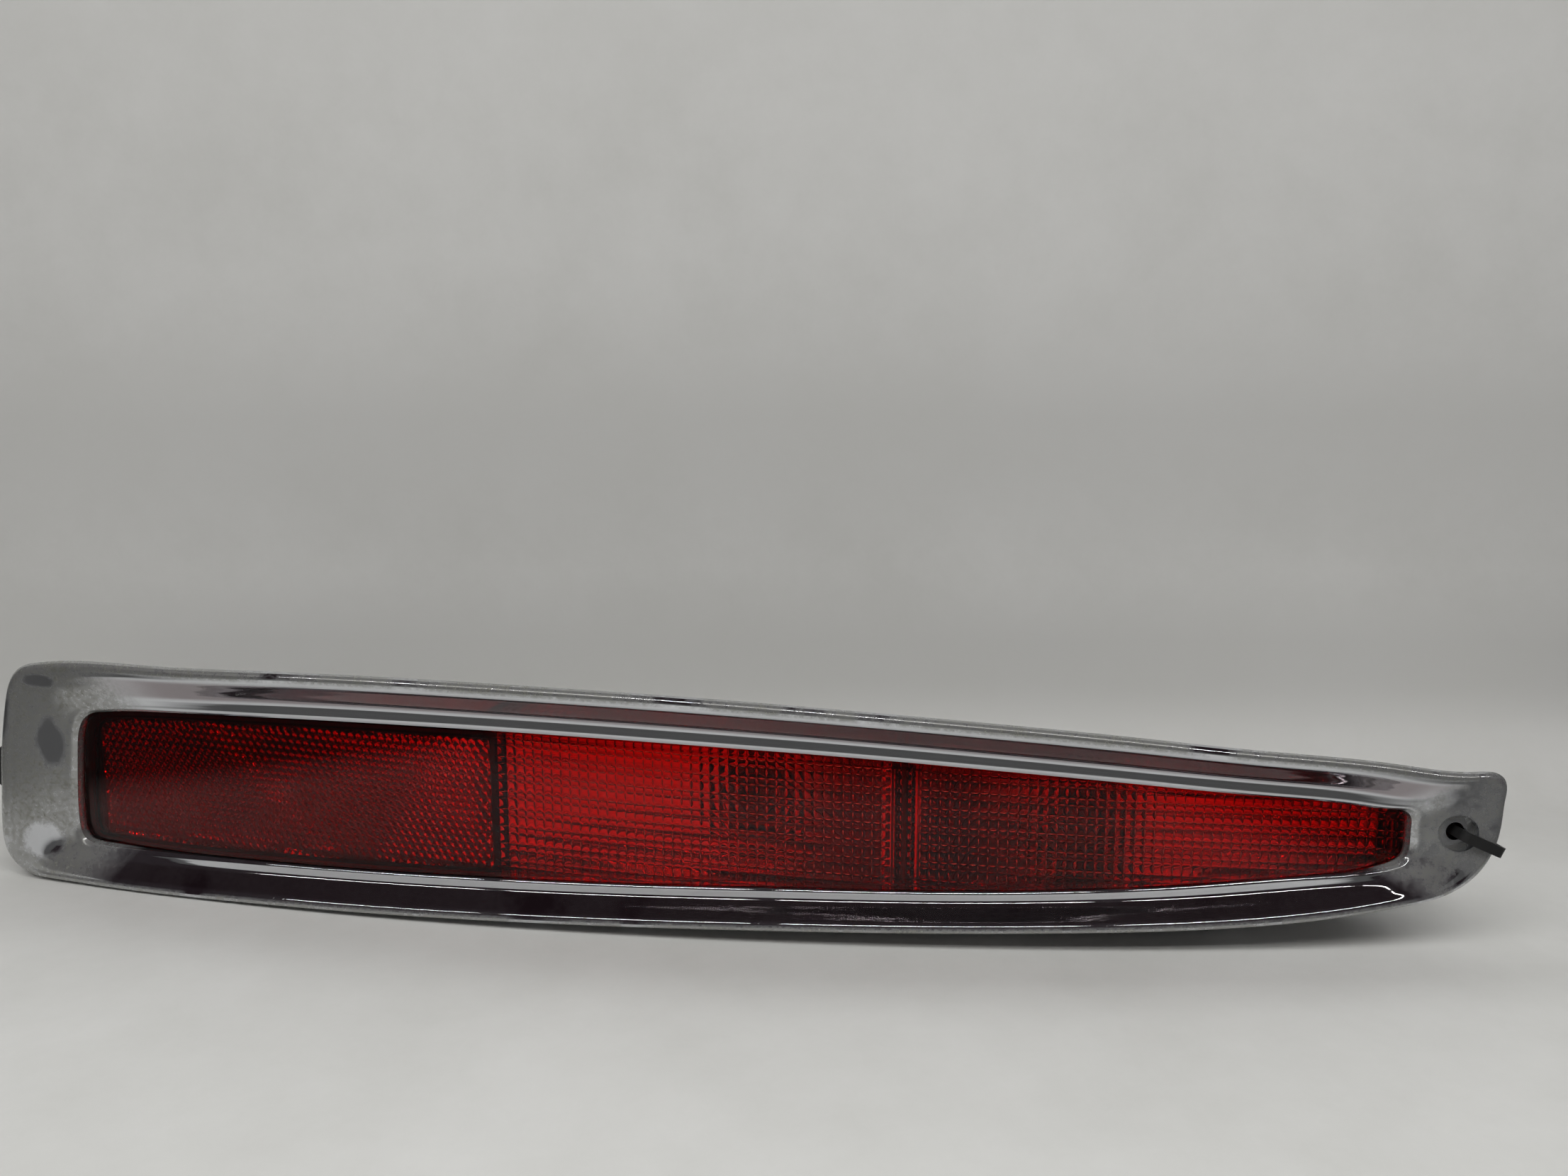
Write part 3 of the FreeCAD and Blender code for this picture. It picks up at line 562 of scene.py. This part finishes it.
# ---------------------------------------------------------------- lens and reflex reflector
def edges_at(share, xs):
    """Lower and upper z of the outline at each x."""
    loop = closed_weights(at_share(share), 4000) @ at_share(share)
    loop = np.roll(loop, -loop[:, 0].argmin(), 0)
    high_i = loop[:, 0].argmax()
    upper, lower = loop[:high_i + 1], loop[high_i:][::-1]
    return np.interp(xs, lower[:, 0], lower[:, 1]), np.interp(xs, upper[:, 0], upper[:, 1])


def cell_lines(start, end, cells):
    """Places of grid lines over a repeated row of cell widths, close together at each joint."""
    spread = np.array([0.0, 0.05, 0.16, 0.32, 0.50, 0.68, 0.84, 0.95])
    lines = []
    period = sum(cells)
    for k in range(int(start // period), int(end // period) + 1):
        place = k * period
        for width in cells:
            lines += list(place + spread * width)
            place += width
    return np.array([line for line in lines if start < line < end])


def lens_columns(low, high):
    """Columns across the lens: fine at its rounded ends and along the pillows' joints."""
    ends = 8.0 * (1 - np.cos(np.linspace(0, math.pi / 2, 30)))
    plain = np.arange(low + 10.0, PILLOW_LEFT, 2.0)
    pillows = cell_lines(PILLOW_LEFT + 600.0, high - 8.0 + 600.0, (PILLOW_W,)) - 600.0
    return np.concatenate([low + ends, plain, pillows, high - ends[::-1]])


def pillow_relief(x, z):
    """Height of the moulded optics on the lens's inner face."""
    row = z - ROW_SLOPE * x + 200.0
    period = PILLOW_TALL + PILLOW_SHORT
    inside = row % period
    tall = inside < PILLOW_TALL
    v = np.where(tall, inside / PILLOW_TALL, (inside - PILLOW_TALL) / PILLOW_SHORT)
    u = ((x + 600.0) % PILLOW_W) / PILLOW_W
    dome = (1 - (2 * u - 1) ** 2) * (1 - (2 * v - 1) ** 2)
    share = np.clip((x - PILLOW_LEFT - 2.0) / 1.5, 0, 1)
    for rib in RIB_XS:
        share = share * np.clip((abs(x - rib) - 0.9) / 0.6, 0, 1)
    return PILLOW_H * dome ** 0.8 * share


def lens():
    """Closed skin: smooth outside, pillow optics inside."""
    loop = closed_weights(at_share(LENS_SHARE), 4000) @ at_share(LENS_SHARE)
    xs = lens_columns(loop[:, 0].min() + 0.02, loop[:, 0].max() - 0.02)
    low, high = edges_at(LENS_SHARE, xs)
    lines = cell_lines(200.0, 286.0, (PILLOW_TALL, PILLOW_SHORT)) - 200.0
    rows = len(lines)
    z = np.clip(lines[None, :] + ROW_SLOPE * xs[:, None], low[:, None], high[:, None])
    x = np.repeat(xs[:, None], rows, 1)
    front = bow_y(x, LENS_FACE)
    inner = bow_y(x, LENS_FACE + LENS_T) - (PILLOW_H - pillow_relief(x, z)) * (x > PILLOW_LEFT)
    count = len(xs) * rows
    points = np.concatenate([np.column_stack([x.ravel(), y.ravel(), z.ravel()]) for y in (front, inner)])
    index = np.arange(count).reshape(len(xs), rows)
    a, b, c, d = index[:-1, :-1], index[1:, :-1], index[1:, 1:], index[:-1, 1:]
    outer = np.stack([a, b, c, d], -1).reshape(-1, 4)
    faces = outer.tolist() + (count + outer[:, ::-1]).tolist()
    rim = index[:, 0].tolist() + index[-1, 1:].tolist()
    rim += index[-2::-1, -1].tolist() + index[0, -2:0:-1].tolist()
    for a, b in zip(rim, rim[1:] + rim[:1]):
        faces.append((b, a, count + a, count + b))
    obj = new_mesh("lens", points, faces, weld=True)
    obj.data.set_sharp_from_angle(angle=math.radians(CREASE))
    return piece(obj, "red_lens", replaces="outer_lens")


def lens_skirt():
    """Wall and glued flange round the lens, under the bezel's lip."""
    section = [(1.04, LENS_FACE + 0.3), (1.16, LENS_FACE + 0.3), (1.16, FLANGE_FRONT), (1.16, FLANGE_BACK),
               (0.74, FLANGE_BACK), (0.74, FLANGE_FRONT), (1.04, FLANGE_FRONT)]
    around = 700
    weights = closed_weights(at_share(0.9), around)
    points = []
    for share, off in section:
        flat = weights @ at_share(share)
        points.append(np.column_stack([flat[:, 0], bow_y(flat[:, 0], off), flat[:, 1]]))
    obj = new_mesh("lens_skirt", np.concatenate(points), ring_faces(len(section), around), smooth=False)
    return piece(obj, "red_lens")


def lens_ribs():
    """Upright ribs on the lens's inner face between the chambers."""
    points, faces = [], []
    for rib in RIB_XS:
        low, high = edges_at(1.17, np.array([rib]))
        rows = 24
        for side in (-0.6, 0.6):
            for off in (LENS_FACE + LENS_T - 0.1, FLANGE_FRONT + 1.5):
                for z in np.linspace(low[0], high[0], rows):
                    points.append((rib + side, float(bow_y(rib + side, off)), z))
        base = len(points) - 4 * rows
        loop = [0, 1, 3, 2]
        for a, b in zip(loop, loop[1:] + loop[:1]):
            for j in range(rows - 1):
                here, there = base + a * rows + j, base + b * rows + j
                faces.append((here, there, there + 1, here + 1))
        faces.append(tuple(base + k * rows for k in reversed(loop)))
        faces.append(tuple(base + k * rows + rows - 1 for k in loop))
    return piece(new_mesh("lens_ribs", points, faces, smooth=False), "red_lens")


def reflex():
    """Plate of hexagonal corner-cube pins, closed in front by a smooth face and round its edge."""
    side = HEX_PITCH / math.sqrt(3)
    step = side / math.sqrt(2)
    front_off, apex = LENS_FACE + LENS_T + REFLEX_GAP, PIN_APEX
    tilt = math.radians(PIN_TILT)
    grid = np.arange(-270.0, -100.0, 0.5)
    grid_low, grid_high = edges_at(1.20, grid)
    points, faces, seen, front_of, uses = [], [], {}, {}, {}

    def vertex(x, z, depth):
        x = min(max(x, REFLEX_LEFT), REFLEX_RIGHT)
        z = min(max(z, float(np.interp(x, grid, grid_low)) + 0.1), float(np.interp(x, grid, grid_high)) - 0.1)
        key = (round(x, 2), round(z, 2), round(depth, 2))
        if key not in seen:
            seen[key] = len(points)
            points.append((x, float(bow_y(x, front_off + depth)), z))
            if depth:
                front_of[seen[key]] = vertex(x, z, 0.0)
        return seen[key]

    def add(loop):
        loop = [v for i, v in enumerate(loop) if v not in loop[:i]]
        if len(loop) > 2:
            faces.append(tuple(loop))
        return loop

    for row in range(-30, 31):
        for col in range(-60, 61):
            u = (col + 0.5 * (row % 2)) * HEX_PITCH
            w = row * HEX_PITCH * math.sqrt(3) / 2
            x = -185.0 + u * math.cos(tilt) - w * math.sin(tilt)
            z = 42.0 + u * math.sin(tilt) + w * math.cos(tilt)
            low, high = np.interp(x, grid, grid_low), np.interp(x, grid, grid_high)
            if not (REFLEX_LEFT - side < x < REFLEX_RIGHT + side and low - side < z < high + side):
                continue
            ring = []
            for k in range(6):
                angle = math.radians(30 + 60 * k) + tilt
                depth = apex - step if k % 2 else apex - 2 * step
                ring.append(vertex(x + side * math.cos(angle), z + side * math.sin(angle), depth))
            top = vertex(x, z, apex)
            for k in (1, 3, 5):
                loop = add([top, ring[k], ring[(k + 1) % 6], ring[(k + 2) % 6]])
                if len(loop) > 2:
                    for a, b in zip(loop, loop[1:] + loop[:1]):
                        uses[frozenset((a, b))] = uses.get(frozenset((a, b)), 0) + 1
            add([front_of[v] for v in reversed(ring)])
    for a, b in [tuple(edge) for edge, count in uses.items() if count == 1]:
        add([a, b, front_of[b], front_of[a]])
    return piece(new_mesh("reflex", points, faces, smooth=False), "red_reflex", replaces="reflex_reflector")


lens()
lens_skirt()
lens_ribs()
reflex()


# ---------------------------------------------------------------- studs
def studs():
    """Steel studs with a collar and a rolled thread of 1 mm pitch."""
    around = 40
    angles = np.linspace(0, 2 * math.pi, around, endpoint=False)
    shank = [(STUD_START, STUD_R), (STUD_FACE, STUD_R), (STUD_FACE, 5.4), (STUD_FACE + 1.6, 5.4),
             (STUD_FACE + 2.0, 5.0), (STUD_FACE + 2.0, 2.5)]
    points, faces = [], []
    for x in STUD_X:
        for z in STUD_Z:
            rings = [(y, np.full(around, r)) for y, r in shank]
            for y in np.arange(STUD_FACE + 2.4, STUD_END + 0.01, 0.16):
                crest = np.abs(2 * ((y - angles / (2 * math.pi)) % 1.0) - 1)
                rings.append((y, np.minimum(STUD_R - 0.05 - 0.55 * crest, 2.1 + STUD_END - y)))
            base = len(points)
            for y, r in rings:
                points += zip(x + r * np.cos(angles), np.full(around, y), z + r * np.sin(angles))
            faces += [tuple(base + k for k in face) for face in ring_faces(len(rings), around, closed=False)]
            faces.append(tuple(range(base, base + around)))
            faces.append(tuple(range(len(points) - around, len(points))))
    obj = new_mesh("studs", points, faces)
    obj.data.set_sharp_from_angle(angle=math.radians(50))
    return piece(obj, "stud_steel", replaces="mounting_studs")


studs()

# ---------------------------------------------------------------- carried-over solids
slot_of = {s["node"]: s["material_slot"] for s in frame["record"]["subparts"]}
for name, obj in nodes.items():
    finish_as(obj, slot_of[name])
